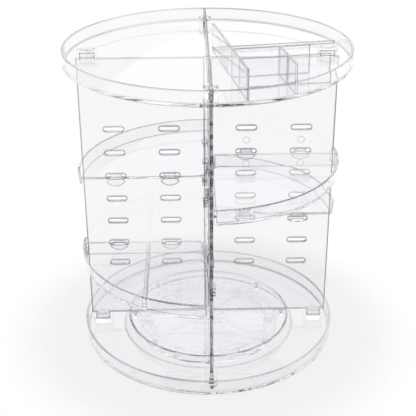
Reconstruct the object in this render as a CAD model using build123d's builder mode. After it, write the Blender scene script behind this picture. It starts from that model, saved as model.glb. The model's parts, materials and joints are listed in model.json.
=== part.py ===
from build123d import *
from math import cos, radians, sin
import os

os.makedirs("parts", exist_ok=True)

# A clear round organizer that turns on a ball track. Millimetres, +Z up.
# The axis of rotation is Z, the table is Z = 0 and the front is -Y.
# The top tray's radius sets the overall width. An inset is how far a piece's edge or centre
# stays inside the edge of the piece that carries or covers it.

# Turntable base, which stays still on the table
FOOT_RADIUS = 5.0
FOOT_HEIGHT = 1.2
FOOT_INSET = 9.6  # from the base's edge to the circle of feet
FOOT_COUNT = 6
BASE_INSET = 11.4  # from the plateau's top edge
BASE_FLOOR = 2.2
BASE_WALL = 2.0
BASE_RIM_RISE = 4.1  # outer wall above the disc
TRACK_WALL = 1.6
TRACK_WALL_RISE = 1.8

# Balls and the ring that spaces them
BALL_RADIUS = 3.0
BALL_COUNT = 12
BALL_PLAY = 0.3  # to the track below and to the track above
POCKET_PLAY = 0.1
CAGE_WALL = 0.8
CAGE_THICKNESS = 1.6
CAGE_PLAY = 0.4

# Pivot at the centre
PIVOT_RADIUS = 6.0
PIVOT_PLAY = 0.06
PIVOT_END_GAP = 0.3
WASHER_RADIUS = 9.0
WASHER_THICKNESS = 1.0
RIVET_RADIUS = 1.6
RIVET_PLAY = 0.05
RIVET_DEPTH = 8.0
RIVET_HEAD_RADIUS = 3.4
RIVET_HEAD_HEIGHT = 1.8

# Spoked carrier under the bottom tray
HUB_RADIUS = 17.0
HUB_THICKNESS = 2.3
RACE_THICKNESS = 2.0
RACE_OVERLAP = 1.5
RIB_COUNT = 8
RIB_WIDTH = 2.4
RIB_HEIGHT = 6.9
RIB_START_GAP = 1.0
RIB_END_INSET = 6.5  # from the plateau's top edge to the centre of a boss
RIB_BOSS_RADIUS = 4.0
PEG_RADIUS = 1.7
PEG_LENGTH = 4.0
PEG_PLAY = 0.1

# Bottom tray with its raised middle
TRAY_INSET = 6.0  # from the top tray's edge
TRAY_RIM = 16.5
TRAY_WALL = 2.5
TRAY_FLOOR = 2.5
PLATEAU_RISE = 11.9
PLATEAU_INSET = 42.2  # from the tray's edge to the foot of the slope
PLATEAU_SLOPE_RUN = 4.8
EDGE_ROUND = 0.7
CORNER_ROUND = 1.6

# Upright panels, their slots and their tabs
PANEL_INSET = 12.2  # from the top tray's edge
PANEL_THICKNESS = 3.2
PANEL_HEIGHT = 286.3
INNER_SLOT_AT = 38.9  # from the axis to a slot's centre
OUTER_SLOT_INSET = 33.4  # from the panel's outer edge to a slot's centre
SLOT_ROWS = 7
SLOT_PITCH = 25.6
TOP_ROW_DROP = 71.7  # from the panel's top edge to its top row
SLOT_WIDTH = 20.0
SLOT_HEIGHT = 4.6
TAB_INSET = 11.8  # from the panel's outer edge to the tab's centre
TAB_WIDTH = 14.0
TAB_HEIGHT = 8.0
TAB_PLAY = 0.3

# Lens-shaped sockets that take the tabs
SOCKET_LENGTH = 21.3
SOCKET_WIDTH = 13.5
SOCKET_TIP_ROUND = 1.5
SOCKET_EDGE_ROUND = 0.6
CAP_HEIGHT = 8.3

# Centre post that joins the panels
POST_WIDTH = 9.0
GROOVE_DEPTH = 1.7
GROOVE_PLAY = 0.2
SPIGOT_RADIUS = 2.0
SPIGOT_LENGTH = 2.3
SPIGOT_PLAY = 0.1

# Top tray and the upright partition across it
TOP_RADIUS = 140.0
TOP_RIM = 15.5
TOP_WALL = 2.5
TOP_FLOOR = 2.5
PARTITION_THICKNESS = 2.6
PARTITION_END_PLAY = 0.5
NOTCH_PLAY = 0.5

# Compartment insert in the top tray
INSERT_CORNER = (4.9, 21.0)
INSERT_ANGLE = 9.5
INSERT_WALL = 2.2
INSERT_HEIGHT = 26.9
INSERT_PLAY = 0.3  # to the rounded corner inside the top tray's rim
SPINE_RIM_GAP = 6.0  # the spine stops this far short of the rim
NEAR_WALL_AT = 88.0
NEAR_WALL_LENGTH = 73.0
FAR_WALL_AT = 118.0
CROSS_WALL_AT = 44.0
RAIL_WIDTH = 2.0
RAIL_HEIGHT = 3.0

# Quarter trays that hook into the slots
QUARTER_HEIGHT = 16.0
QUARTER_WALL = 2.4
QUARTER_FLOOR = 2.5
QUARTER_DRAFT = 1.5  # the rim leans out by this much at its top
QUARTER_CORNER = 12.0
QUARTER_EDGE_ROUND = 0.6
EDGE_GAP = 0.6  # between the rim and a panel's outer edge
SIDE_GAP = 0.4  # between a tray and a panel's face
WRAP_ROUND = 7.0  # rounded end of a rim that runs past a panel
DIVIDER_AT = 63.5
NECK_WIDTH = 12.0
NECK_THICKNESS = 2.0
NECK_PLAY = 0.1
LIP_LENGTH = 19.4
LIP_HEIGHT = 9.6
LIP_THICKNESS = 2.6

# Radii that follow from the sizes above, from the edge inwards
top_inner = TOP_RADIUS - TOP_WALL
insert_reach = top_inner - CORNER_ROUND - INSERT_PLAY
tray_radius = TOP_RADIUS - TRAY_INSET
panel_radius = TOP_RADIUS - PANEL_INSET
tab_centre = panel_radius - TAB_INSET
slot_columns = (INNER_SLOT_AT, panel_radius - OUTER_SLOT_INSET)
plateau_foot_radius = tray_radius - PLATEAU_INSET
plateau_top_radius = plateau_foot_radius - PLATEAU_SLOPE_RUN
rib_end_circle = plateau_top_radius - RIB_END_INSET
base_radius = plateau_top_radius - BASE_INSET
foot_circle = base_radius - FOOT_INSET
track_outer = base_radius - BASE_WALL
track_width = 2 * (BALL_RADIUS + POCKET_PLAY + CAGE_WALL + CAGE_PLAY)
track_inner = track_outer - track_width
ball_circle = (track_outer + track_inner) / 2
panel_inner = POST_WIDTH / 2 - GROOVE_DEPTH + GROOVE_PLAY
quarter_inner = panel_radius + EDGE_GAP
quarter_outer = quarter_inner + QUARTER_WALL
# a radius that lies inside the leaning rim from its foot to its top
tie_radius = (quarter_outer + quarter_inner + QUARTER_DRAFT) / 2
face_offset = PANEL_THICKNESS / 2 + SIDE_GAP

# Heights that follow from the sizes above, from the table upwards
track_z = FOOT_HEIGHT + BASE_FLOOR
ball_z = track_z + BALL_PLAY + BALL_RADIUS
race_z = ball_z + BALL_RADIUS + BALL_PLAY
pivot_top = race_z + HUB_THICKNESS + PIVOT_END_GAP
washer_top = pivot_top + WASHER_THICKNESS
plateau_under = race_z + RIB_HEIGHT
plateau_top = plateau_under + TRAY_FLOOR
tray_floor_top = plateau_top - PLATEAU_RISE
tray_bottom = tray_floor_top - TRAY_FLOOR
panel_top = plateau_top + PANEL_HEIGHT
top_floor = panel_top + TOP_FLOOR

# The four panels stand square to each other, anticlockwise from the right.
panel_angles = {side: 90 * place for place, side in enumerate(("right", "back", "left", "front"))}


def save(piece, label):
    """Names a finished piece and writes it to its own file."""
    piece.part.label = label
    export_step(piece.part, f"parts/{label}.step")


def turned_plane(angle, z):
    """A level plane whose X runs along the direction of angle."""
    turn = radians(angle)
    return Plane(origin=(0, 0, z), x_dir=(cos(turn), sin(turn), 0), z_dir=(0, 0, 1))


def upright_plane(angle):
    """An upright plane through the axis: X runs outward along angle and Y runs up."""
    turn = radians(angle)
    return Plane(origin=(0, 0, 0), x_dir=(cos(turn), sin(turn), 0), z_dir=(sin(turn), -cos(turn), 0))


def lens(length, width):
    """Two equal arcs that meet at points, about the origin."""
    with BuildSketch() as outline:
        with BuildLine():
            ThreePointArc((-length / 2, 0), (0, width / 2), (length / 2, 0))
            ThreePointArc((length / 2, 0), (0, -width / 2), (-length / 2, 0))
        make_face()
    return outline.sketch


def slot_row_z(row):
    """Height of a row of slots, counted from 1 at the top."""
    return panel_top - TOP_ROW_DROP - (row - 1) * SLOT_PITCH


def make_rubber_feet():
    with BuildPart() as feet:
        with BuildSketch(Plane.XY):
            with PolarLocations(foot_circle, FOOT_COUNT):
                Circle(FOOT_RADIUS)
        extrude(amount=FOOT_HEIGHT)
    return feet


def make_turntable_base():
    with BuildPart() as base:
        with BuildSketch(Plane.XY.offset(FOOT_HEIGHT)):
            Circle(base_radius)
        extrude(amount=BASE_FLOOR)
        with BuildSketch(Plane.XY.offset(track_z)):
            Circle(base_radius)
            Circle(track_outer, mode=Mode.SUBTRACT)
        extrude(amount=BASE_RIM_RISE)
        with BuildSketch(Plane.XY.offset(track_z)):
            Circle(track_inner)
            Circle(track_inner - TRACK_WALL, mode=Mode.SUBTRACT)
        extrude(amount=TRACK_WALL_RISE)
        with BuildSketch(Plane.XY.offset(track_z)):
            Circle(PIVOT_RADIUS)
        extrude(amount=pivot_top - track_z)
        with BuildSketch(Plane.XY.offset(pivot_top)):
            Circle(RIVET_RADIUS + RIVET_PLAY)
        extrude(amount=-(RIVET_DEPTH + RIVET_PLAY), mode=Mode.SUBTRACT)
    return base


def make_bearing_balls():
    with BuildPart() as balls:
        with Locations(Plane.XY.offset(ball_z)):
            with PolarLocations(ball_circle, BALL_COUNT):
                Sphere(BALL_RADIUS)
    return balls


def make_ball_cage():
    with BuildPart() as cage:
        with BuildSketch(Plane.XY.offset(ball_z - CAGE_THICKNESS / 2)):
            Circle(track_outer - CAGE_PLAY)
            Circle(track_inner + CAGE_PLAY, mode=Mode.SUBTRACT)
            with PolarLocations(ball_circle, BALL_COUNT):
                Circle(BALL_RADIUS + POCKET_PLAY, mode=Mode.SUBTRACT)
        extrude(amount=CAGE_THICKNESS)
    return cage


def make_thrust_washer():
    with BuildPart() as washer:
        with BuildSketch(Plane.XY.offset(pivot_top)):
            Circle(WASHER_RADIUS)
            Circle(RIVET_RADIUS + RIVET_PLAY, mode=Mode.SUBTRACT)
        extrude(amount=WASHER_THICKNESS)
    return washer


def make_pivot_rivet():
    with BuildPart() as rivet:
        with BuildSketch(Plane.XY.offset(pivot_top - RIVET_DEPTH)):
            Circle(RIVET_RADIUS)
        extrude(amount=RIVET_DEPTH + WASHER_THICKNESS)
        with BuildSketch(Plane.XY.offset(washer_top)):
            Circle(RIVET_HEAD_RADIUS)
        extrude(amount=RIVET_HEAD_HEIGHT)
        fillet(rivet.edges().group_by(Axis.Z)[-1], EDGE_ROUND)
    return rivet


def make_turntable_spider():
    rib_start = WASHER_RADIUS + RIB_START_GAP
    with BuildPart() as spider:
        with BuildSketch(Plane.XY.offset(race_z)):
            Circle(HUB_RADIUS)
        extrude(amount=HUB_THICKNESS)
        with BuildSketch(Plane.XY.offset(race_z)):
            Circle(track_outer + RACE_OVERLAP)
            Circle(track_inner - RACE_OVERLAP, mode=Mode.SUBTRACT)
        extrude(amount=RACE_THICKNESS)
        with BuildSketch(Plane.XY.offset(race_z)):
            with PolarLocations((rib_start + rib_end_circle) / 2, RIB_COUNT):
                Rectangle(rib_end_circle - rib_start, RIB_WIDTH)
            with PolarLocations(rib_end_circle, RIB_COUNT):
                Circle(RIB_BOSS_RADIUS)
        extrude(amount=RIB_HEIGHT)
        with BuildSketch(Plane.XY.offset(race_z)):
            Circle(PIVOT_RADIUS + PIVOT_PLAY)
        extrude(amount=HUB_THICKNESS, mode=Mode.SUBTRACT)
        with BuildSketch(Plane.XY.offset(plateau_under)):
            with PolarLocations(rib_end_circle, RIB_COUNT):
                Circle(PEG_RADIUS + PEG_PLAY)
        extrude(amount=-(PEG_LENGTH + PEG_PLAY), mode=Mode.SUBTRACT)
    return spider


def make_bottom_tray():
    # The plateau's sloping wall keeps its thickness, so its inside is moved square to the slope.
    lean = (plateau_foot_radius - plateau_top_radius) / PLATEAU_RISE
    wall_across = TRAY_FLOOR * (1 + lean**2) ** 0.5
    inner_foot = plateau_foot_radius - wall_across + lean * TRAY_FLOOR
    inner_top = plateau_top_radius - wall_across + lean * TRAY_FLOOR
    rim_top = tray_bottom + TRAY_RIM
    outline = (
        ((0, plateau_top), 0),
        ((0, plateau_under), 0),
        ((inner_top, plateau_under), 0),
        ((inner_foot, tray_bottom), 0),
        ((tray_radius, tray_bottom), CORNER_ROUND),
        ((tray_radius, rim_top), EDGE_ROUND),
        ((tray_radius - TRAY_WALL, rim_top), EDGE_ROUND),
        ((tray_radius - TRAY_WALL, tray_floor_top), CORNER_ROUND),
        ((plateau_foot_radius, tray_floor_top), CORNER_ROUND),
        ((plateau_top_radius, plateau_top), EDGE_ROUND),
    )
    with BuildPart() as tray:
        with BuildSketch(Plane.XZ):
            with BuildLine():
                points = [point for point, rounding in outline]
                FilletPolyline(*points, radius=[rounding for point, rounding in outline], close=True)
            make_face()
        revolve(axis=Axis.Z)
        with BuildSketch(Plane.XY.offset(plateau_under)):
            with PolarLocations(rib_end_circle, RIB_COUNT):
                Circle(PEG_RADIUS)
        extrude(amount=-PEG_LENGTH)
        with BuildSketch(Plane.XY.offset(plateau_under)):
            Circle(SPIGOT_RADIUS + SPIGOT_PLAY)
        extrude(amount=TRAY_FLOOR, mode=Mode.SUBTRACT)
    return tray


def make_panel(angle):
    upright = upright_plane(angle)
    tab_foot = plateau_top - TAB_HEIGHT
    with BuildPart() as panel:
        with BuildSketch(upright):
            with Locations(((panel_inner + panel_radius) / 2, (plateau_top + panel_top) / 2)):
                Rectangle(panel_radius - panel_inner, PANEL_HEIGHT)
            with Locations((tab_centre, (tab_foot + panel_top + TAB_HEIGHT) / 2)):
                Rectangle(TAB_WIDTH, PANEL_HEIGHT + 2 * TAB_HEIGHT)
            slots = [(column, slot_row_z(row + 1)) for column in slot_columns for row in range(SLOT_ROWS)]
            with Locations(slots):
                SlotOverall(SLOT_WIDTH, SLOT_HEIGHT, mode=Mode.SUBTRACT)
        extrude(amount=PANEL_THICKNESS / 2, both=True)
    return panel


def make_socket(angle, bottom, top, pocket_bottom, pocket_top):
    """A lens-shaped block on a tray's floor with a pocket for a panel's tab."""
    eye = lens(SOCKET_LENGTH, SOCKET_WIDTH)
    with BuildPart() as socket:
        with BuildSketch(turned_plane(angle, bottom)) as outline:
            with Locations((tab_centre, 0)):
                add(eye)
            fillet(outline.vertices(), SOCKET_TIP_ROUND)
        extrude(amount=top - bottom)
        with BuildSketch(turned_plane(angle, pocket_bottom)):
            with Locations((tab_centre, 0)):
                Rectangle(TAB_WIDTH + 2 * TAB_PLAY, PANEL_THICKNESS + 2 * TAB_PLAY)
        extrude(amount=pocket_top - pocket_bottom, mode=Mode.SUBTRACT)
    return socket


def make_panel_foot(angle):
    pocket_floor = plateau_top - TAB_HEIGHT - TAB_PLAY
    return make_socket(angle, tray_floor_top, plateau_top, pocket_floor, plateau_top)


def make_panel_cap(angle):
    pocket_roof = panel_top + TAB_HEIGHT + TAB_PLAY
    socket = make_socket(angle, top_floor, top_floor + CAP_HEIGHT, top_floor, pocket_roof)
    with socket:
        fillet(socket.edges().group_by(Axis.Z)[-1], SOCKET_EDGE_ROUND)
    return socket


def make_centre_post():
    with BuildPart() as post:
        with BuildSketch(Plane.XY.offset(plateau_top)):
            Rectangle(POST_WIDTH, POST_WIDTH)
            with PolarLocations(POST_WIDTH / 2 - GROOVE_DEPTH / 2, len(panel_angles)):
                Rectangle(GROOVE_DEPTH, PANEL_THICKNESS + 2 * GROOVE_PLAY, mode=Mode.SUBTRACT)
        extrude(amount=PANEL_HEIGHT)
        with BuildSketch(Plane.XY.offset(plateau_top - SPIGOT_LENGTH)):
            Circle(SPIGOT_RADIUS)
        extrude(amount=PANEL_HEIGHT + 2 * SPIGOT_LENGTH)
    return post


def make_top_tray():
    rim_top = panel_top + TOP_RIM
    outline = (
        ((0, top_floor), 0),
        ((0, panel_top), 0),
        ((TOP_RADIUS, panel_top), CORNER_ROUND),
        ((TOP_RADIUS, rim_top), EDGE_ROUND),
        ((top_inner, rim_top), EDGE_ROUND),
        ((top_inner, top_floor), CORNER_ROUND),
    )
    with BuildPart() as tray:
        with BuildSketch(Plane.XZ):
            with BuildLine():
                points = [point for point, rounding in outline]
                FilletPolyline(*points, radius=[rounding for point, rounding in outline], close=True)
            make_face()
        revolve(axis=Axis.Z)
        with BuildSketch(Plane.XY.offset(panel_top)):
            with PolarLocations(tab_centre, len(panel_angles)):
                Rectangle(TAB_WIDTH + 2 * TAB_PLAY, PANEL_THICKNESS + 2 * TAB_PLAY)
            Circle(SPIGOT_RADIUS + SPIGOT_PLAY)
        extrude(amount=TOP_FLOOR, mode=Mode.SUBTRACT)
    return tray


def make_top_partition():
    height = TOP_RIM - TOP_FLOOR
    half_length = top_inner - PARTITION_END_PLAY
    notch_length = SOCKET_LENGTH + 2 * NOTCH_PLAY
    notch_height = CAP_HEIGHT + NOTCH_PLAY
    with BuildPart() as partition:
        with BuildSketch(upright_plane(panel_angles["back"])):
            with Locations((0, top_floor + height / 2)):
                Rectangle(2 * half_length, height)
            with Locations((tab_centre, top_floor + notch_height / 2)):
                Rectangle(notch_length, notch_height, mode=Mode.SUBTRACT)
            with Locations((-tab_centre, top_floor + notch_height / 2)):
                Rectangle(notch_length, notch_height, mode=Mode.SUBTRACT)
            # The floor's corner with the rim is rounded, so the foot of each end is cut back.
            with Locations((half_length, top_floor), (-half_length, top_floor)):
                Circle(CORNER_ROUND, mode=Mode.SUBTRACT)
        extrude(amount=PARTITION_THICKNESS / 2, both=True)
    return partition


def run_to_circle(start, direction, radius):
    """How far a level line runs from start to a circle about the axis."""
    along = start.X * direction.X + start.Y * direction.Y
    return (radius**2 - start.X**2 - start.Y**2 + along**2) ** 0.5 - along


def make_insert():
    """Crossing walls on one spine. Local X runs right and local -Y runs to the front."""
    turn = radians(INSERT_ANGLE)
    corner = Plane(origin=(*INSERT_CORNER, top_floor), x_dir=(cos(turn), sin(turn), 0), z_dir=(0, 0, 1))
    rightwards = corner.x_dir
    forwards = -corner.y_dir
    # Each wall is measured along the side that meets the rim first.
    spine_side = corner.from_local_coords(Vector(INSERT_WALL, 0))
    spine_length = run_to_circle(spine_side, forwards, top_inner - SPINE_RIM_GAP)
    far_side = corner.from_local_coords(Vector(0, -FAR_WALL_AT - INSERT_WALL))
    far_length = run_to_circle(far_side, rightwards, insert_reach)
    cross_side = corner.from_local_coords(Vector(CROSS_WALL_AT + INSERT_WALL, -NEAR_WALL_AT))
    cross_length = run_to_circle(cross_side, forwards, insert_reach)
    rail_length = run_to_circle(corner.origin, rightwards, insert_reach)
    walls = (
        (0, 0, INSERT_WALL, spine_length),
        (0, NEAR_WALL_AT, NEAR_WALL_LENGTH, INSERT_WALL),
        (0, FAR_WALL_AT, far_length, INSERT_WALL),
        (CROSS_WALL_AT, NEAR_WALL_AT, INSERT_WALL, cross_length),
    )
    with BuildPart() as insert:
        with BuildSketch(corner):
            for x, y, width, length in walls:
                with Locations((x, -y)):
                    Rectangle(width, length, align=(Align.MIN, Align.MAX))
        extrude(amount=INSERT_HEIGHT)
        with BuildSketch(corner):
            Rectangle(rail_length, RAIL_WIDTH, align=(Align.MIN, Align.MAX))
        extrude(amount=RAIL_HEIGHT)
    return insert


def make_rim(first_side, bottom, wraps):
    """The curved leaning wall, which may run past the two panels by the angles in wraps."""
    top = bottom + QUARTER_HEIGHT
    reach = quarter_outer + QUARTER_DRAFT + QUARTER_WALL
    with BuildPart() as rim:
        with BuildSketch(upright_plane(first_side - wraps[0])):
            with BuildLine():
                FilletPolyline(
                    (quarter_inner, bottom),
                    (quarter_outer, bottom),
                    (quarter_outer + QUARTER_DRAFT, top),
                    (quarter_inner + QUARTER_DRAFT, top),
                    radius=[0, QUARTER_EDGE_ROUND, QUARTER_EDGE_ROUND, QUARTER_EDGE_ROUND],
                    close=True,
                )
            make_face()
        revolve(axis=Axis.Z, revolution_arc=90 + wraps[0] + wraps[1])
        for angle, wrap, along in ((first_side, wraps[0], 1), (first_side + 90, wraps[1], -1)):
            if wrap:
                # Rounds the top corner of an end that runs past, looking at the end from outside.
                turn = radians(angle - along * wrap)
                end = Plane(
                    origin=(reach * cos(turn), reach * sin(turn), top),
                    x_dir=(-along * sin(turn), along * cos(turn), 0),
                    z_dir=(along * cos(turn), along * sin(turn), 0),
                )
                with BuildSketch(end):
                    with Locations((WRAP_ROUND / 2, -WRAP_ROUND / 2)):
                        Rectangle(WRAP_ROUND, WRAP_ROUND)
                    with Locations((WRAP_ROUND, -WRAP_ROUND)):
                        Circle(WRAP_ROUND, mode=Mode.SUBTRACT)
                extrude(amount=-along * (reach - panel_radius + SIDE_GAP), mode=Mode.SUBTRACT)
            else:
                with BuildSketch(turned_plane(angle, bottom)):
                    with Locations((reach / 2, 0)):
                        Rectangle(reach, 2 * face_offset)
                extrude(amount=QUARTER_HEIGHT, mode=Mode.SUBTRACT)
    return rim


def corner_region(offset, rounding):
    """The quarter plane from offset outwards, with its corner at the post rounded."""
    reach = quarter_outer + QUARTER_DRAFT
    with BuildSketch() as region:
        with Locations((offset + reach / 2, offset + reach / 2)):
            Rectangle(reach, reach)
        fillet(region.vertices().group_by(Axis.X)[0].sort_by(Axis.Y)[0], rounding)
    return region.sketch


def make_hooks(first_side, bottom, body_top, row, lip_rise):
    """Two hooks on each straight side: a root on the tray, a neck through a slot, a lip behind."""
    neck_z = slot_row_z(row) - SLOT_HEIGHT / 2 + NECK_PLAY
    neck_top = neck_z + NECK_THICKNESS
    root_low = min(bottom, neck_z)
    root_high = max(body_top, neck_top)
    root_face = -(face_offset + QUARTER_WALL)
    eye = lens(LIP_LENGTH, LIP_HEIGHT)
    with BuildPart() as hooks:
        for plane, sign in ((upright_plane(first_side), 1), (upright_plane(first_side - 90), -1)):
            for column in slot_columns:
                x = sign * column
                with BuildSketch(plane.offset(root_face)):
                    with Locations((x, (root_low + root_high) / 2)):
                        Rectangle(NECK_WIDTH, root_high - root_low)
                extrude(amount=QUARTER_WALL)
                with BuildSketch(plane.offset(root_face)):
                    with Locations((x, (neck_z + neck_top) / 2)):
                        Rectangle(NECK_WIDTH, NECK_THICKNESS)
                extrude(amount=QUARTER_WALL + 2 * face_offset + LIP_THICKNESS)
                with BuildSketch(plane.offset(face_offset)):
                    with Locations((x, neck_top + lip_rise)):
                        add(eye)
                extrude(amount=LIP_THICKNESS)
    return hooks


def make_quarter_tray(first_panel, row, hang, walled, wraps, lip_rise, divided):
    """A tray in the quarter that starts at the panel named first_panel and runs anticlockwise.

    hang is how far the tray's underside lies below the centre of its row of slots.
    """
    first_side = panel_angles[first_panel]
    bottom = slot_row_z(row) - hang
    body_top = bottom + (QUARTER_HEIGHT if walled else QUARTER_FLOOR)
    level = turned_plane(first_side, bottom)
    outside = corner_region(face_offset, QUARTER_CORNER)
    inside = corner_region(face_offset + QUARTER_WALL, QUARTER_CORNER - QUARTER_WALL)
    rim = make_rim(first_side, bottom, wraps)
    hooks = make_hooks(first_side, bottom, body_top, row, lip_rise)
    with BuildPart() as tray:
        with BuildSketch(level):
            Circle(tie_radius)
            add(outside, mode=Mode.INTERSECT)
        extrude(amount=QUARTER_FLOOR)
        if walled:
            with BuildSketch(level):
                Circle(tie_radius)
                add(outside, mode=Mode.INTERSECT)
                add(inside, mode=Mode.SUBTRACT)
            extrude(amount=QUARTER_HEIGHT)
        if divided:
            with BuildSketch(level):
                Circle(tie_radius)
                with Locations((DIVIDER_AT, face_offset)):
                    Rectangle(
                        QUARTER_WALL, tie_radius, align=(Align.CENTER, Align.MIN), mode=Mode.INTERSECT
                    )
            extrude(amount=QUARTER_HEIGHT)
        add(rim.part)
        add(hooks.part)
    return tray


save(make_rubber_feet(), "rubber_feet")
save(make_turntable_base(), "turntable_base")
save(make_bearing_balls(), "bearing_balls")
save(make_ball_cage(), "ball_cage")
save(make_thrust_washer(), "thrust_washer")
save(make_pivot_rivet(), "pivot_rivet")
save(make_turntable_spider(), "turntable_spider")
save(make_bottom_tray(), "bottom_tray")
for side, side_angle in panel_angles.items():
    save(make_panel_foot(side_angle), f"panel_foot_{side}")
    save(make_panel(side_angle), f"panel_{side}")
    save(make_panel_cap(side_angle), f"panel_cap_{side}")
save(make_centre_post(), "centre_post")
save(make_top_tray(), "top_tray")
save(make_top_partition(), "top_partition")
save(make_insert(), "lipstick_insert")

# The front trays have straight walls and hang low on their hooks. The back trays are open
# along the panels. A rim runs past a panel by the degrees given, and 0 stops it at the panel.
QUARTER_TRAYS = {
    "front_right": dict(
        first_panel="front",
        row=2, hang=17.8, walled=True, wraps=(0, 8), lip_rise=-5.0, divided=False,
    ),
    "front_left": dict(
        first_panel="left",
        row=6, hang=14.6, walled=True, wraps=(6, 0), lip_rise=-5.0, divided=True,
    ),
    "back_left": dict(
        first_panel="back",
        row=3, hang=4.2, walled=False, wraps=(3, 4), lip_rise=-5.0, divided=False,
    ),
    "back_right": dict(
        first_panel="right",
        row=5, hang=-3.0, walled=False, wraps=(0, 0), lip_rise=2.1, divided=False,
    ),
}
for corner, form in QUARTER_TRAYS.items():
    save(make_quarter_tray(**form), f"tray_{corner}")
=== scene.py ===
# %% [markdown]
# # A clear organizer on a turntable
# The whole object is clear, colourless plastic on a white table, so almost nothing of it has a
# colour of its own. What the eye reads is edges: where a wall ends or bends it shows a darker or
# brighter part of the room. So this scene spends its effort on smooth rounded edges, on shade
# painted into the plastic's colour along its edges, and on a room that has something for the edges
# to show.
#
# The organizer's solids come from the imported model as named nodes. Each belongs to a body, which is
# what a joint moves, and has a material slot. A new piece has to name both, so they are looked up
# here once.

# %% Load the imported model as the fixed frame
import json
import math

import bpy
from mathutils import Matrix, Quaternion, Vector


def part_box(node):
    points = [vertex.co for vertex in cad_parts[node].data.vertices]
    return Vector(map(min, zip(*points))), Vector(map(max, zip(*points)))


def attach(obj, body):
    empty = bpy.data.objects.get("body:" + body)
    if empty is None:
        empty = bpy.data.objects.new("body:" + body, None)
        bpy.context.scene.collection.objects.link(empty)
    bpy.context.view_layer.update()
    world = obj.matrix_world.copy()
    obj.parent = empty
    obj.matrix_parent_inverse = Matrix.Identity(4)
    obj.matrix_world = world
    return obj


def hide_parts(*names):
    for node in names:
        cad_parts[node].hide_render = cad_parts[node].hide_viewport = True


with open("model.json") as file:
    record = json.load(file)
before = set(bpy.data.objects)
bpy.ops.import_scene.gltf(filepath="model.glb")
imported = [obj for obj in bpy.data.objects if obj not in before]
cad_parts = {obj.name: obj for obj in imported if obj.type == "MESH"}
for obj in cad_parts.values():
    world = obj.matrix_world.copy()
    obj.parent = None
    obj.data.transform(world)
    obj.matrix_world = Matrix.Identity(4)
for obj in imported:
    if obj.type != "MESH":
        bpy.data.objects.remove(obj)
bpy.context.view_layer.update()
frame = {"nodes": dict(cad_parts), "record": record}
nodes = frame["nodes"]
bodies = frame["record"]["behaviour"]["bodies"]
body_of = {name: body for body, names in bodies.items() for name in names}
slot_of = {part["node"]: part["material_slot"] for part in frame["record"]["subparts"]}


# %% [markdown]
# ## The camera
# The photograph looks down through a long lens. Its place and its lens were worked out from the two
# round rims and the flat panels, which brings the parts close to where the photograph has them. Yaw
# turns the look aside and pitch turns it down. A small roll about the camera's own axis then levels
# the rims.

# %% Camera
CAMERA_PLACE = (-0.0203, -0.8668, 0.5700)
CAMERA_YAW = 0.0234  # in radians, as are pitch and roll
CAMERA_PITCH = 0.4563
CAMERA_ROLL = -0.0038
LENS = 79.86  # in millimetres, as is the sensor
SENSOR_WIDTH = 36.0


def add_object(name, data):
    """Puts a new object into the scene, at the origin."""
    added = bpy.data.objects.new(name, data)
    bpy.context.scene.collection.objects.link(added)
    return added


camera = add_object("camera", bpy.data.cameras.new("camera"))
camera.data.lens = LENS
camera.data.sensor_width = SENSOR_WIDTH
camera.location = CAMERA_PLACE
level = math.cos(CAMERA_PITCH)
look = Vector((math.sin(CAMERA_YAW) * level, math.cos(CAMERA_YAW) * level, -math.sin(CAMERA_PITCH)))
unrolled = look.to_track_quat("-Z", "Y")
camera.rotation_euler = (unrolled @ Quaternion((0, 0, 1), CAMERA_ROLL)).to_euler()
bpy.context.scene.camera = camera
bpy.context.scene.view_settings.view_transform = "Standard"
print("the camera looks along", tuple(round(x, 3) for x in look))

# %% [markdown]
# ## Light bounces
# A look through this object crosses a dozen walls with two faces each, and inside a thin floor it can
# be mirrored to and fro many times before it gets out. A path that runs out of bounces ends inside
# the plastic and shows black. Crossings count as transmission bounces and mirrored turns as glossy
# ones, so both limits are raised together with the limit on all bounces.

# %% Bounces
MOST_BOUNCES = 160
MOST_SEE_THROUGH = 64  # for the plain see-through shader that lets light down to the table

cycles = bpy.context.scene.cycles
cycles.max_bounces = MOST_BOUNCES
cycles.transmission_bounces = MOST_BOUNCES
cycles.glossy_bounces = MOST_BOUNCES
cycles.transparent_max_bounces = MOST_SEE_THROUGH
print("bounces", cycles.max_bounces, "see-through", cycles.transparent_max_bounces)


# %% [markdown]
# ## Wiring nodes
# Every tree below is wired with a few small helpers, so that a line of code reads like the wire it
# makes: put() makes a node and sets its plain inputs, wire() joins an output to an input, calculate()
# is one step of arithmetic, and blend() goes from one shader to another.

# %% Node helpers
def put(tree, kind, settings=None, **inputs):
    """Makes a node. settings are its own properties, inputs are its sockets by name."""
    node = tree.nodes.new(kind)
    for name, value in (settings or {}).items():
        setattr(node, name, value)
    for name, value in inputs.items():
        node.inputs[name.replace("_", " ")].default_value = value
    return node


def wire(tree, output, node_input):
    tree.links.new(output, node_input)


def calculate(tree, operation, first, second=None, clamp=False):
    """A Math node whose inputs are wires or plain numbers."""
    node = put(tree, "ShaderNodeMath", {"operation": operation, "use_clamp": clamp})
    for socket, value in zip(node.inputs, (first, second)):
        if isinstance(value, bpy.types.NodeSocket):
            wire(tree, value, socket)
        elif value is not None:
            socket.default_value = value
    return node.outputs[0]


def blend(tree, share, first, second):
    """Mixes two shaders: only the first at share 0, only the second at share 1."""
    mix = put(tree, "ShaderNodeMixShader")
    for output, socket in zip((share, first, second), mix.inputs):
        wire(tree, output, socket)
    return mix.outputs[0]


def new_material(name):
    """A material with an empty tree."""
    material = bpy.data.materials.new(name)
    material.use_nodes = True
    material.node_tree.nodes.clear()
    return material, material.node_tree


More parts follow.
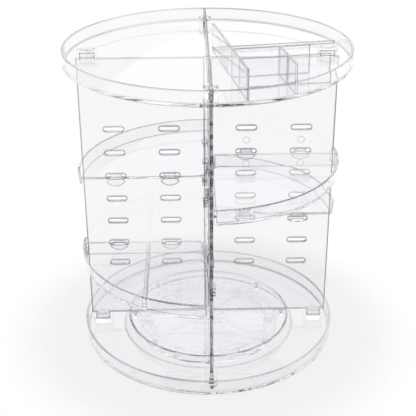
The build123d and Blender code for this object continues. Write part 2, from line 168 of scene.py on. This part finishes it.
# %% [markdown]
# ## The room
# Clear plastic shows the room around it. Straight through it there has to be white, as behind the
# real one. High up the studio is dim, for rounded edges to bend the view up there and come out as
# thin dark lines, which is how clear objects are photographed on white. The dim part starts above the
# height that the flat floors of the trays mirror to the camera, so that those stay white. Only looks
# that were bent or mirrored see it. The camera sees plain white, and the table is lit by an even
# dome.

# %% World
WHITE = (1, 1, 1, 1)
DIM = (0.03, 0.035, 0.045, 1)
DIM_FROM = 0.58  # heights in the room are shares of straight up
DIM_TO = 0.95
FADE_TO_DIM = 0.10
FADE_TO_WHITE = 0.04
DOME_STRENGTH = 0.90


def make_dim_band(sky):
    """The colour of the room: white, a dim band high up, and white again at the very top."""
    direction = put(sky, "ShaderNodeTexCoord")
    split = put(sky, "ShaderNodeSeparateXYZ")
    wire(sky, direction.outputs["Generated"], split.inputs[0])
    band = put(sky, "ShaderNodeValToRGB")
    stops = band.color_ramp.elements
    stops[0].position = DIM_FROM
    stops[0].color = WHITE
    stops[1].position = DIM_FROM + FADE_TO_DIM
    stops[1].color = DIM
    stops.new(DIM_TO).color = DIM
    stops.new(DIM_TO + FADE_TO_WHITE).color = WHITE
    wire(sky, split.outputs["Z"], band.inputs["Fac"])
    return band.outputs["Color"]


def make_studio():
    studio = bpy.data.worlds.new("studio")
    studio.use_nodes = True
    sky = studio.node_tree
    sky.nodes.clear()
    room = put(sky, "ShaderNodeBackground", Strength=1.0)
    wire(sky, make_dim_band(sky), room.inputs["Color"])
    dome = put(sky, "ShaderNodeBackground", Color=WHITE, Strength=DOME_STRENGTH)
    backdrop = put(sky, "ShaderNodeBackground", Color=WHITE, Strength=1.0)
    ray = put(sky, "ShaderNodeLightPath")
    bent = calculate(sky, "MAXIMUM", ray.outputs["Is Glossy Ray"], ray.outputs["Is Transmission Ray"])
    around = blend(sky, bent, dome.outputs[0], room.outputs[0])
    seen = blend(sky, ray.outputs["Is Camera Ray"], around, backdrop.outputs[0])
    end = put(sky, "ShaderNodeOutputWorld")
    wire(sky, seen, end.inputs["Surface"])
    return studio


bpy.context.scene.world = make_studio()
print("the dim part runs from", DIM_FROM, "to", DIM_TO)

# %% [markdown]
# ## The lamps
# Three large soft discs add glints on the rims and a soft shadow under the turntable. They are weak,
# because the dome already lights the table nearly to the level of white paper.

# %% Lamps
LAMP_TARGET = Vector((0, 0, 0.15))
LAMPS = (  # name, place, size, power
    ("key", (-0.9, -0.9, 1.5), 1.2, 1.3),
    ("fill", (1.3, -0.5, 1.1), 1.2, 0.6),
    ("back", (0.2, 1.4, 1.3), 1.4, 0.9),
)

for name, place, size, power in LAMPS:
    light = bpy.data.lights.new(name, "AREA")
    light.shape = "DISK"
    light.size = size
    light.energy = power
    lamp = add_object(name, light)
    lamp.location = place
    lamp.rotation_euler = (LAMP_TARGET - Vector(place)).to_track_quat("-Z", "Y").to_euler()
    print("lamp", name, "of", power, "W")

# %% [markdown]
# ## The table
# A seamless white sweep: near the object it is an ordinary white surface that takes its shadow,
# further out it turns into plain white, so no edge and no grey shows behind the object.

# %% Floor
FLOOR_HALF = 6.0
PAPER = (0.95, 0.95, 0.952, 1)
SHADOW_REACH = (0.158, 0.235)  # the paper turns into plain white between these radii


def make_white_sweep():
    material, tree = new_material("white_sweep")
    paper = put(tree, "ShaderNodeBsdfDiffuse", Color=PAPER)
    glow = put(tree, "ShaderNodeEmission", Color=WHITE, Strength=1.0)
    here = put(tree, "ShaderNodeTexCoord")
    distance = put(tree, "ShaderNodeVectorMath", {"operation": "LENGTH"})
    wire(tree, here.outputs["Object"], distance.inputs[0])
    fade = put(tree, "ShaderNodeMapRange", {"interpolation_type": "SMOOTHSTEP"})
    fade.inputs["From Min"].default_value, fade.inputs["From Max"].default_value = SHADOW_REACH
    wire(tree, distance.outputs["Value"], fade.inputs["Value"])
    end = put(tree, "ShaderNodeOutputMaterial")
    surface = blend(tree, fade.outputs["Result"], paper.outputs[0], glow.outputs[0])
    wire(tree, surface, end.inputs["Surface"])
    return material


floor_mesh = bpy.data.meshes.new("floor")
corners = [(-1, -1), (1, -1), (1, 1), (-1, 1)]
floor_mesh.from_pydata([(x * FLOOR_HALF, y * FLOOR_HALF, 0) for x, y in corners], [], [(0, 1, 2, 3)])
floor_mesh.materials.append(make_white_sweep())
floor = add_object("floor", floor_mesh)
print("floor half width", FLOOR_HALF)


# %% [markdown]
# ## What all the clear plastic shares: painted dark edges
# At an edge clear plastic looks darker, because light that enters there is led along inside the wall
# and leaves somewhere else. That shade is painted here into the plastic's colour along its edges. An
# edge is found by comparing the surface's own normal with one that is averaged over the edge width.
# Reach is how far the two have to differ for a full line, so a small reach draws strong lines. Along a
# real rim the line comes and goes, so a large soft noise weakens the painted shade in places and moves
# it between two tints. It is a node group, so that each material gives it its own values.

# %% Node group for edges
NORMALS_AVERAGED = 6
FLAT_BELOW = 0.0005  # normals that differ by less are those of a flat face
CLOUD_RANGE = (0.38, 0.62)  # of the noise: this is spread over 0 to 1, and the rest is cut off


def new_group(name, inputs, outputs):
    """A shader node group. inputs are (name, value) and outputs are names, all of them numbers."""
    tree = bpy.data.node_groups.new(name, "ShaderNodeTree")
    for socket_name, value in inputs:
        socket = tree.interface.new_socket(socket_name, in_out="INPUT", socket_type="NodeSocketFloat")
        socket.default_value = value
    for socket_name in outputs:
        tree.interface.new_socket(socket_name, in_out="OUTPUT", socket_type="NodeSocketFloat")
    return tree, tree.nodes.new("NodeGroupInput"), tree.nodes.new("NodeGroupOutput")


def put_noise(tree, **inputs):
    """A Noise node in the piece's own space, so that the pattern moves with the piece."""
    noise = put(tree, "ShaderNodeTexNoise", **inputs)
    here = put(tree, "ShaderNodeTexCoord")
    wire(tree, here.outputs["Object"], noise.inputs["Vector"])
    return noise


def find_edges(tree, edge_width, reach):
    """The mask of the painted edge shade: 1 on an edge, 0 on a flat face."""
    averaged = put(tree, "ShaderNodeBevel", {"samples": NORMALS_AVERAGED})
    wire(tree, edge_width, averaged.inputs["Radius"])
    surface = put(tree, "ShaderNodeNewGeometry")
    agreement = put(tree, "ShaderNodeVectorMath", {"operation": "DOT_PRODUCT"})
    wire(tree, averaged.outputs[0], agreement.inputs[0])
    wire(tree, surface.outputs["Normal"], agreement.inputs[1])
    difference = calculate(tree, "SUBTRACT", 1.0, agreement.outputs["Value"])
    edge = put(tree, "ShaderNodeMapRange", {"interpolation_type": "SMOOTHSTEP"}, From_Min=FLAT_BELOW)
    wire(tree, difference, edge.inputs["Value"])
    wire(tree, reach, edge.inputs["From Max"])
    return edge.outputs["Result"]


def make_clouds(tree, scale):
    """Large soft patches from 0 to 1."""
    noise = put_noise(tree, Detail=1.0)
    wire(tree, scale, noise.inputs["Scale"])
    spread = put(tree, "ShaderNodeMapRange")
    spread.inputs["From Min"].default_value, spread.inputs["From Max"].default_value = CLOUD_RANGE
    wire(tree, noise.outputs[0], spread.inputs["Value"])
    return spread.outputs["Result"]


def make_edge_group():
    inputs = (("Edge Width", 0.0008), ("Reach", 0.1), ("Unevenness", 0.5), ("Variation Scale", 7.0))
    tree, start, end = new_group("painted_edge_shade", inputs, ("Edge", "Tone"))
    edge = find_edges(tree, start.outputs["Edge Width"], start.outputs["Reach"])
    clouds = make_clouds(tree, start.outputs["Variation Scale"])
    loss = calculate(tree, "MULTIPLY", clouds, start.outputs["Unevenness"])
    kept = calculate(tree, "SUBTRACT", 1.0, loss, clamp=True)
    wire(tree, calculate(tree, "MULTIPLY", edge, kept), end.inputs["Edge"])
    wire(tree, clouds, end.inputs["Tone"])
    return tree


# the group that paints shade along the edges of all the clear plastic
painted_edge_shade = make_edge_group()
print("group", painted_edge_shade.name)


# %% [markdown]
# ## What all the clear plastic shares: the flow of the mould
# A moulded face is never a perfect plane: the plastic flowed into the mould and froze with a faint,
# slow ripple, and a trace of haze. This second group puts out a height for a Bump node and a
# roughness.

# %% Node group for the mould's flow
RIPPLE_SWIRL = 0.6
HAZE_SCALE = 60.0
HAZE_DETAIL = 3.0


def make_flow_group():
    inputs = (("Ripple Scale", 9.0), ("Ripple Height", 0.00003), ("Haze", 0.01))
    tree, start, end = new_group("mould_flow", inputs, ("Height", "Roughness"))
    ripple = put_noise(tree, Detail=0.0, Distortion=RIPPLE_SWIRL)
    wire(tree, start.outputs["Ripple Scale"], ripple.inputs["Scale"])
    height = calculate(tree, "MULTIPLY", ripple.outputs[0], start.outputs["Ripple Height"])
    wire(tree, height, end.inputs["Height"])
    bloom = put_noise(tree, Scale=HAZE_SCALE, Detail=HAZE_DETAIL)
    roughness = calculate(tree, "MULTIPLY", bloom.outputs[0], start.outputs["Haze"])
    wire(tree, roughness, end.inputs["Roughness"])
    return tree


mould_flow = make_flow_group()
print("group", mould_flow.name)


# %% [markdown]
# ## Clear plastics
# The organizer is moulded from one clear resin, but its pieces differ: panels are thick flat sheets
# with the greyest look and the strongest painted edge shade, the trays are thinner, and the turntable
# is slightly frosted. So one function makes the material, and each piece gets its own tint, painted
# edge shade and haze. Lamps and dome reach the table through the plastic by a plain see-through
# shader, because light bent by a dozen curved walls would take very long to settle.

# %% Clear plastic
PLASTIC_IOR = 1.49
CLEAR_HAZE = 0.004
SHADE_LEFT = (0.993, 0.993, 0.995, 1)  # what one face lets through to the table


def with_painted_edge_shade(tree, tint, painted_shade_tints, edge_width, reach, unevenness):
    """The tint on faces, and a line of painted shade between the two edge tints along edges."""
    edges = put(tree, "ShaderNodeGroup", {"node_tree": painted_edge_shade}, Edge_Width=edge_width)
    edges.inputs["Reach"].default_value = reach
    edges.inputs["Unevenness"].default_value = unevenness
    first, second = painted_shade_tints
    line = put(tree, "ShaderNodeMix", {"data_type": "RGBA"}, A=(*first, 1), B=(*second, 1))
    wire(tree, edges.outputs["Tone"], line.inputs["Factor"])
    colour = put(tree, "ShaderNodeMix", {"data_type": "RGBA"}, A=(*tint, 1))
    wire(tree, line.outputs["Result"], colour.inputs["B"])
    wire(tree, edges.outputs["Edge"], colour.inputs["Factor"])
    return colour.outputs["Result"]


def clear_plastic(
    name, tint, painted_shade_tints, edge_width, reach, unevenness, haze=CLEAR_HAZE, ior=PLASTIC_IOR
):
    """A clear material. tint is what a plate lets through; the two edge tints are the painted shade
    along its edges.
    """
    material, tree = new_material(name)
    body = put(tree, "ShaderNodeBsdfPrincipled", IOR=ior, Transmission_Weight=1.0)
    colour = with_painted_edge_shade(tree, tint, painted_shade_tints, edge_width, reach, unevenness)
    wire(tree, colour, body.inputs["Base Color"])
    flow = put(tree, "ShaderNodeGroup", {"node_tree": mould_flow}, Haze=haze)
    wire(tree, flow.outputs["Roughness"], body.inputs["Roughness"])
    bump = put(tree, "ShaderNodeBump", Distance=1.0, Strength=1.0)
    wire(tree, flow.outputs["Height"], bump.inputs["Height"])
    wire(tree, bump.outputs[0], body.inputs["Normal"])
    shade = put(tree, "ShaderNodeBsdfTransparent", Color=SHADE_LEFT)
    ray = put(tree, "ShaderNodeLightPath")
    lighting = calculate(tree, "MAXIMUM", ray.outputs["Is Shadow Ray"], ray.outputs["Is Diffuse Ray"])
    end = put(tree, "ShaderNodeOutputMaterial")
    wire(tree, blend(tree, lighting, body.outputs[0], shade.outputs[0]), end.inputs["Surface"])
    return material


# %% [markdown]
# ## Every piece's own finish
# The edges of the panels and of their slots are the darkest lines on the real object, so they get the
# darkest painted shade. Sockets, post and turntable are small and lie behind other walls, where
# full-strength painted edge shade would add up to black, so theirs is lighter. The post and the sockets
# sit close round the panels and came out too dark there, so they also have a lower index of
# refraction. That is a choice of looks: the real ones seem to be of the same plastic as the rest.

# %% Finishes
# Each pair is the tint of a painted shade line where it is strongest, and where it is weakest.
DARK_PAINTED_SHADE = ((0.14, 0.155, 0.18), (0.30, 0.285, 0.27))
GREY_PAINTED_SHADE = ((0.50, 0.52, 0.55), (0.66, 0.64, 0.62))
PALE_PAINTED_SHADE = ((0.66, 0.64, 0.62), (0.82, 0.82, 0.83))
FAINT_PAINTED_SHADE = ((0.82, 0.82, 0.83), (0.9, 0.9, 0.9))

LOOKS = {
    "clear_tray": dict(
        tint=(0.962, 0.965, 0.973), painted_shade_tints=DARK_PAINTED_SHADE, edge_width=0.0018, reach=0.012, unevenness=0.5
    ),
    "clear_panel": dict(
        tint=(0.92, 0.923, 0.932), painted_shade_tints=DARK_PAINTED_SHADE, edge_width=0.0020, reach=0.006, unevenness=0.1
    ),
    "clear_quarter_tray": dict(
        tint=(0.957, 0.96, 0.969), painted_shade_tints=DARK_PAINTED_SHADE, edge_width=0.0014, reach=0.014, unevenness=0.6
    ),
    "clear_insert": dict(
        tint=(0.95, 0.953, 0.962), painted_shade_tints=DARK_PAINTED_SHADE, edge_width=0.0016, reach=0.008, unevenness=0.2
    ),
    "clear_turntable": dict(
        tint=(0.982, 0.983, 0.988),
        painted_shade_tints=PALE_PAINTED_SHADE,
        edge_width=0.0008,
        reach=0.03,
        unevenness=0.6,
        haze=0.03,
    ),
    "rubber_feet": dict(
        tint=(0.93, 0.93, 0.935),
        painted_shade_tints=GREY_PAINTED_SHADE,
        edge_width=0.0004,
        reach=0.2,
        unevenness=0.4,
        haze=0.3,
    ),
    "clear_socket": dict(
        tint=(0.975, 0.977, 0.982),
        painted_shade_tints=PALE_PAINTED_SHADE,
        edge_width=0.0007,
        reach=0.03,
        unevenness=0.5,
        ior=1.28,
    ),
    "clear_post": dict(
        tint=(0.985, 0.986, 0.99),
        painted_shade_tints=FAINT_PAINTED_SHADE,
        edge_width=0.0006,
        reach=0.05,
        unevenness=0.5,
        ior=1.12,
    ),
}
SOCKETS = ("panel_cap_", "panel_foot_")

finishes = {name: clear_plastic(name, **values) for name, values in LOOKS.items()}


def finish_for(node):
    """The material of a node: its slot's own, apart from the sockets and the post."""
    if node.startswith(SOCKETS):
        return finishes["clear_socket"]
    if node == "centre_post":
        return finishes["clear_post"]
    return finishes[slot_of[node]]


for name, piece in nodes.items():
    piece.data.materials.clear()
    piece.data.materials.append(finish_for(name))
print("finishes", sorted(finishes))


# %% [markdown]
# ## Growing a piece from a tree
# The pieces below come from Geometry Nodes trees with named inputs. grow() runs a tree on a mesh and
# keeps the result as a plain mesh with no modifier left, ready to ride on a body. What ends a tree is
# shared too: instances are made real and smooth, and the geometry is given its finish.

# %% Geometry Nodes helpers
LARGE_FACES_LEAD = 90  # of 100: in smooth shading, large flat faces stay flat up to their edges


def new_geometry_tree(name, inputs):
    """A Geometry Nodes tree with a Geometry input and output, and inputs given as (name, kind)."""
    tree = bpy.data.node_groups.new(name, "GeometryNodeTree")
    tree.interface.new_socket("Geometry", in_out="INPUT", socket_type="NodeSocketGeometry")
    for socket_name, kind in inputs:
        tree.interface.new_socket(socket_name, in_out="INPUT", socket_type=kind)
    tree.interface.new_socket("Geometry", in_out="OUTPUT", socket_type="NodeSocketGeometry")
    return tree, tree.nodes.new("NodeGroupInput"), tree.nodes.new("NodeGroupOutput")


def grow(name, tree, values, start_mesh=None, weigh_normals=False):
    """Runs a tree on a mesh and gives the result as a plain object at the origin."""
    worker = add_object(name + "_worker", start_mesh or bpy.data.meshes.new(name + "_start"))
    modifier = worker.modifiers.new("grow", "NODES")
    modifier.node_group = tree
    for item in tree.interface.items_tree:
        if item.in_out == "INPUT" and item.name in values:
            modifier[item.identifier] = values[item.name]
    if weigh_normals:
        weighted = worker.modifiers.new("weigh", "WEIGHTED_NORMAL")
        weighted.keep_sharp = True
        weighted.weight = LARGE_FACES_LEAD
    graph = bpy.context.evaluated_depsgraph_get()
    evaluated = worker.evaluated_get(graph)
    mesh = bpy.data.meshes.new_from_object(evaluated, preserve_all_data_layers=True, depsgraph=graph)
    mesh.name = name
    bpy.data.objects.remove(worker)
    return add_object(name, mesh)


def repeat_on(tree, points, shape):
    """One instance of the shape on every point."""
    copies = put(tree, "GeometryNodeInstanceOnPoints")
    wire(tree, points, copies.inputs["Points"])
    wire(tree, shape, copies.inputs["Instance"])
    return copies.outputs["Instances"]


def make_real(tree, instances):
    """Turns instances into plain geometry, shaded smooth."""
    real = put(tree, "GeometryNodeRealizeInstances")
    wire(tree, instances, real.inputs["Geometry"])
    smooth = put(tree, "GeometryNodeSetShadeSmooth")
    wire(tree, real.outputs["Geometry"], smooth.inputs["Geometry"])
    return smooth.outputs["Geometry"]


def end_with_finish(tree, start, geometry, end):
    """Gives the geometry the material of the tree's Finish input, and ends the tree."""
    finish = put(tree, "GeometryNodeSetMaterial")
    wire(tree, geometry, finish.inputs["Geometry"])
    wire(tree, start.outputs["Finish"], finish.inputs["Material"])
    wire(tree, finish.outputs["Geometry"], end.inputs["Geometry"])


print("helpers for growing pieces are ready")


# %% [markdown]
# ## A tree that smooths the mouldings
# The frame's meshes are loose flat triangles. On an opaque part that hardly shows, but a clear rim
# bends the view at every facet and breaks its lines into dashes. So the tree welds a mesh and shades
# it smooth across shallow edges, while true corners stay sharp. It also draws the mesh in by a hair,
# and the next step says why.

# %% Smoothing tree
def draw_in(tree, geometry, distance):
    """Moves every point inward along its normal."""
    outward = put(tree, "GeometryNodeInputNormal")
    inward = put(tree, "ShaderNodeVectorMath", {"operation": "SCALE"})
    wire(tree, outward.outputs["Normal"], inward.inputs[0])
    wire(tree, calculate(tree, "MULTIPLY", distance, -1.0), inward.inputs["Scale"])
    moved = put(tree, "GeometryNodeSetPosition")
    wire(tree, geometry, moved.inputs["Geometry"])
    wire(tree, inward.outputs[0], moved.inputs["Offset"])
    return moved.outputs["Geometry"]


def shade_up_to(tree, geometry, corner_angle):
    """Smooth shading that stops at edges sharper than the angle."""
    faces = put(tree, "GeometryNodeSetShadeSmooth", {"domain": "FACE"})
    wire(tree, geometry, faces.inputs["Geometry"])
    bend = put(tree, "GeometryNodeInputMeshEdgeAngle")
    shallow = calculate(tree, "LESS_THAN", bend.outputs["Unsigned Angle"], corner_angle)
    edges = put(tree, "GeometryNodeSetShadeSmooth", {"domain": "EDGE"})
    wire(tree, faces.outputs["Geometry"], edges.inputs["Geometry"])
    wire(tree, shallow, edges.inputs["Shade Smooth"])
    return edges.outputs["Geometry"]


def make_smoothing_tree():
    inputs = (
        ("Weld Distance", "NodeSocketFloat"),
        ("Air Gap", "NodeSocketFloat"),
        ("Corner Angle", "NodeSocketFloat"),
        ("Finish", "NodeSocketMaterial"),
    )
    tree, start, end = new_geometry_tree("smooth_moulding", inputs)
    weld = put(tree, "GeometryNodeMergeByDistance")
    wire(tree, start.outputs["Geometry"], weld.inputs["Geometry"])
    wire(tree, start.outputs["Weld Distance"], weld.inputs["Distance"])
    drawn_in = draw_in(tree, weld.outputs["Geometry"], start.outputs["Air Gap"])
    shaded = shade_up_to(tree, drawn_in, start.outputs["Corner Angle"])
    end_with_finish(tree, start, shaded, end)
    return tree


smoothing = make_smoothing_tree()
print("tree", smoothing.name)

# %% [markdown]
# ## Smooth copies
# The panels, the partition and the insert are made of flat sheets, which need no smoothing, and the
# balls are made anew further down. Every other piece gets a smooth copy, which rides on the same body
# and is shown in place of its node. Where two real pieces touch there is still a hair of air between
# them, but the imported model's faces coincide there. Such places came out as black patches.
# So the copies are drawn in by a few hundredths of a millimetre.

# %% Smooth copies
WELD_DISTANCE = 0.000002
AIR_GAP = 0.00003
CORNER_ANGLE = math.radians(32)
PANELS = ("panel_front", "panel_right", "panel_back", "panel_left")
KEPT_AS_THEY_ARE = PANELS + ("top_partition", "lipstick_insert")
MADE_ANEW = ("bearing_balls",)

smooth_names = [name for name in nodes if name not in KEPT_AS_THEY_ARE + MADE_ANEW]
for name in smooth_names:
    values = {
        "Weld Distance": WELD_DISTANCE,
        "Air Gap": AIR_GAP,
        "Corner Angle": CORNER_ANGLE,
        "Finish": finish_for(name),
    }
    piece = grow(name + "_moulded", smoothing, values, nodes[name].data.copy(), weigh_normals=True)
    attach(piece, body_of[name])
    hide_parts(name)
print("smooth copies", len(smooth_names))

# %% [markdown]
# ## The bearing balls
# Twelve clear balls run between the two tracks inside the turntable. They repeat round a circle, so
# one sphere is instanced on the points of a circle. Radius, height and circle are read from the
# frame, so that the balls stay in their cage.

# %% Balls
BALL_COUNT = 12
BALL_SEGMENTS = 32
BALL_RINGS = 16


def make_ball_tree():
    inputs = (
        ("Count", "NodeSocketInt"),
        ("Circle Radius", "NodeSocketFloat"),
        ("Ball Radius", "NodeSocketFloat"),
        ("Height", "NodeSocketFloat"),
        ("Finish", "NodeSocketMaterial"),
    )
    tree, start, end = new_geometry_tree("balls_on_a_track", inputs)
    circle = put(tree, "GeometryNodeMeshCircle")
    wire(tree, start.outputs["Count"], circle.inputs["Vertices"])
    wire(tree, start.outputs["Circle Radius"], circle.inputs["Radius"])
    ball = put(tree, "GeometryNodeMeshUVSphere", Segments=BALL_SEGMENTS, Rings=BALL_RINGS)
    wire(tree, start.outputs["Ball Radius"], ball.inputs["Radius"])
    lift = put(tree, "ShaderNodeCombineXYZ")
    wire(tree, start.outputs["Height"], lift.inputs["Z"])
    raised = put(tree, "GeometryNodeTransform")
    balls_on_circle = repeat_on(tree, circle.outputs["Mesh"], ball.outputs["Mesh"])
    wire(tree, balls_on_circle, raised.inputs["Geometry"])
    wire(tree, lift.outputs[0], raised.inputs["Translation"])
    end_with_finish(tree, start, make_real(tree, raised.outputs["Geometry"]), end)
    return tree


ball_low, ball_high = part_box("bearing_balls")
ball_radius = (ball_high[2] - ball_low[2]) / 2
balls = grow(
    "bearing_balls_smooth",
    make_ball_tree(),
    {
        "Count": BALL_COUNT,
        "Circle Radius": ball_high[0] - ball_radius,
        "Ball Radius": ball_radius,
        "Height": (ball_low[2] + ball_high[2]) / 2,
        "Finish": finish_for("bearing_balls"),
    },
)
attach(balls, body_of["bearing_balls"])
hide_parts("bearing_balls")
print("balls", BALL_COUNT, "of radius", round(ball_radius, 4), "m")

# %% [markdown]
# ## The marks of the ejector pins
# The pins that push a panel out of its mould leave faint rings on it. The right panel shows four, in
# the two columns of slots, half way between the rows. They sit in a grid, so one thin ring is
# instanced on the points of a grid, which is then stood upright on the panel's front face.

# %% Ejector marks
SLOT_COLUMNS = (0.0389, 0.0944)
TOP_SLOT_ROW = 0.2340
SLOT_ROW_STEP = 0.0256
RING_RADIUS = 0.0034
WIRE_RADIUS = 0.00018
RING_STEPS = 40
WIRE_STEPS = 8
UPRIGHT = (math.pi / 2, 0, 0)


def make_mark_tree():
    inputs = (
        ("Width", "NodeSocketFloat"),
        ("Drop", "NodeSocketFloat"),
        ("Ring Radius", "NodeSocketFloat"),
        ("Wire Radius", "NodeSocketFloat"),
        ("Place", "NodeSocketVector"),
        ("Finish", "NodeSocketMaterial"),
    )
    tree, start, end = new_geometry_tree("marks_on_a_grid", inputs)
    grid = put(tree, "GeometryNodeMeshGrid", Vertices_X=2, Vertices_Y=2)
    wire(tree, start.outputs["Width"], grid.inputs["Size X"])
    wire(tree, start.outputs["Drop"], grid.inputs["Size Y"])
    path = put(tree, "GeometryNodeCurvePrimitiveCircle", Resolution=RING_STEPS)
    wire(tree, start.outputs["Ring Radius"], path.inputs["Radius"])
    section = put(tree, "GeometryNodeCurvePrimitiveCircle", Resolution=WIRE_STEPS)
    wire(tree, start.outputs["Wire Radius"], section.inputs["Radius"])
    ring = put(tree, "GeometryNodeCurveToMesh")
    wire(tree, path.outputs["Curve"], ring.inputs["Curve"])
    wire(tree, section.outputs["Curve"], ring.inputs["Profile Curve"])
    stood = put(tree, "GeometryNodeTransform", Rotation=UPRIGHT)
    rings_on_grid = repeat_on(tree, grid.outputs["Mesh"], ring.outputs["Mesh"])
    wire(tree, rings_on_grid, stood.inputs["Geometry"])
    wire(tree, start.outputs["Place"], stood.inputs["Translation"])
    end_with_finish(tree, start, make_real(tree, stood.outputs["Geometry"]), end)
    return tree


panel_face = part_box("panel_right")[0][1]
marks = grow(
    "ejector_marks",
    make_mark_tree(),
    {
        "Width": SLOT_COLUMNS[1] - SLOT_COLUMNS[0],
        "Drop": SLOT_ROW_STEP,
        "Ring Radius": RING_RADIUS,
        "Wire Radius": WIRE_RADIUS,
        "Place": (sum(SLOT_COLUMNS) / 2, panel_face, TOP_SLOT_ROW - SLOT_ROW_STEP),
        "Finish": finishes["clear_panel"],
    },
)
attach(marks, body_of["panel_right"])
print("marks on the right panel, face at", round(panel_face, 4))
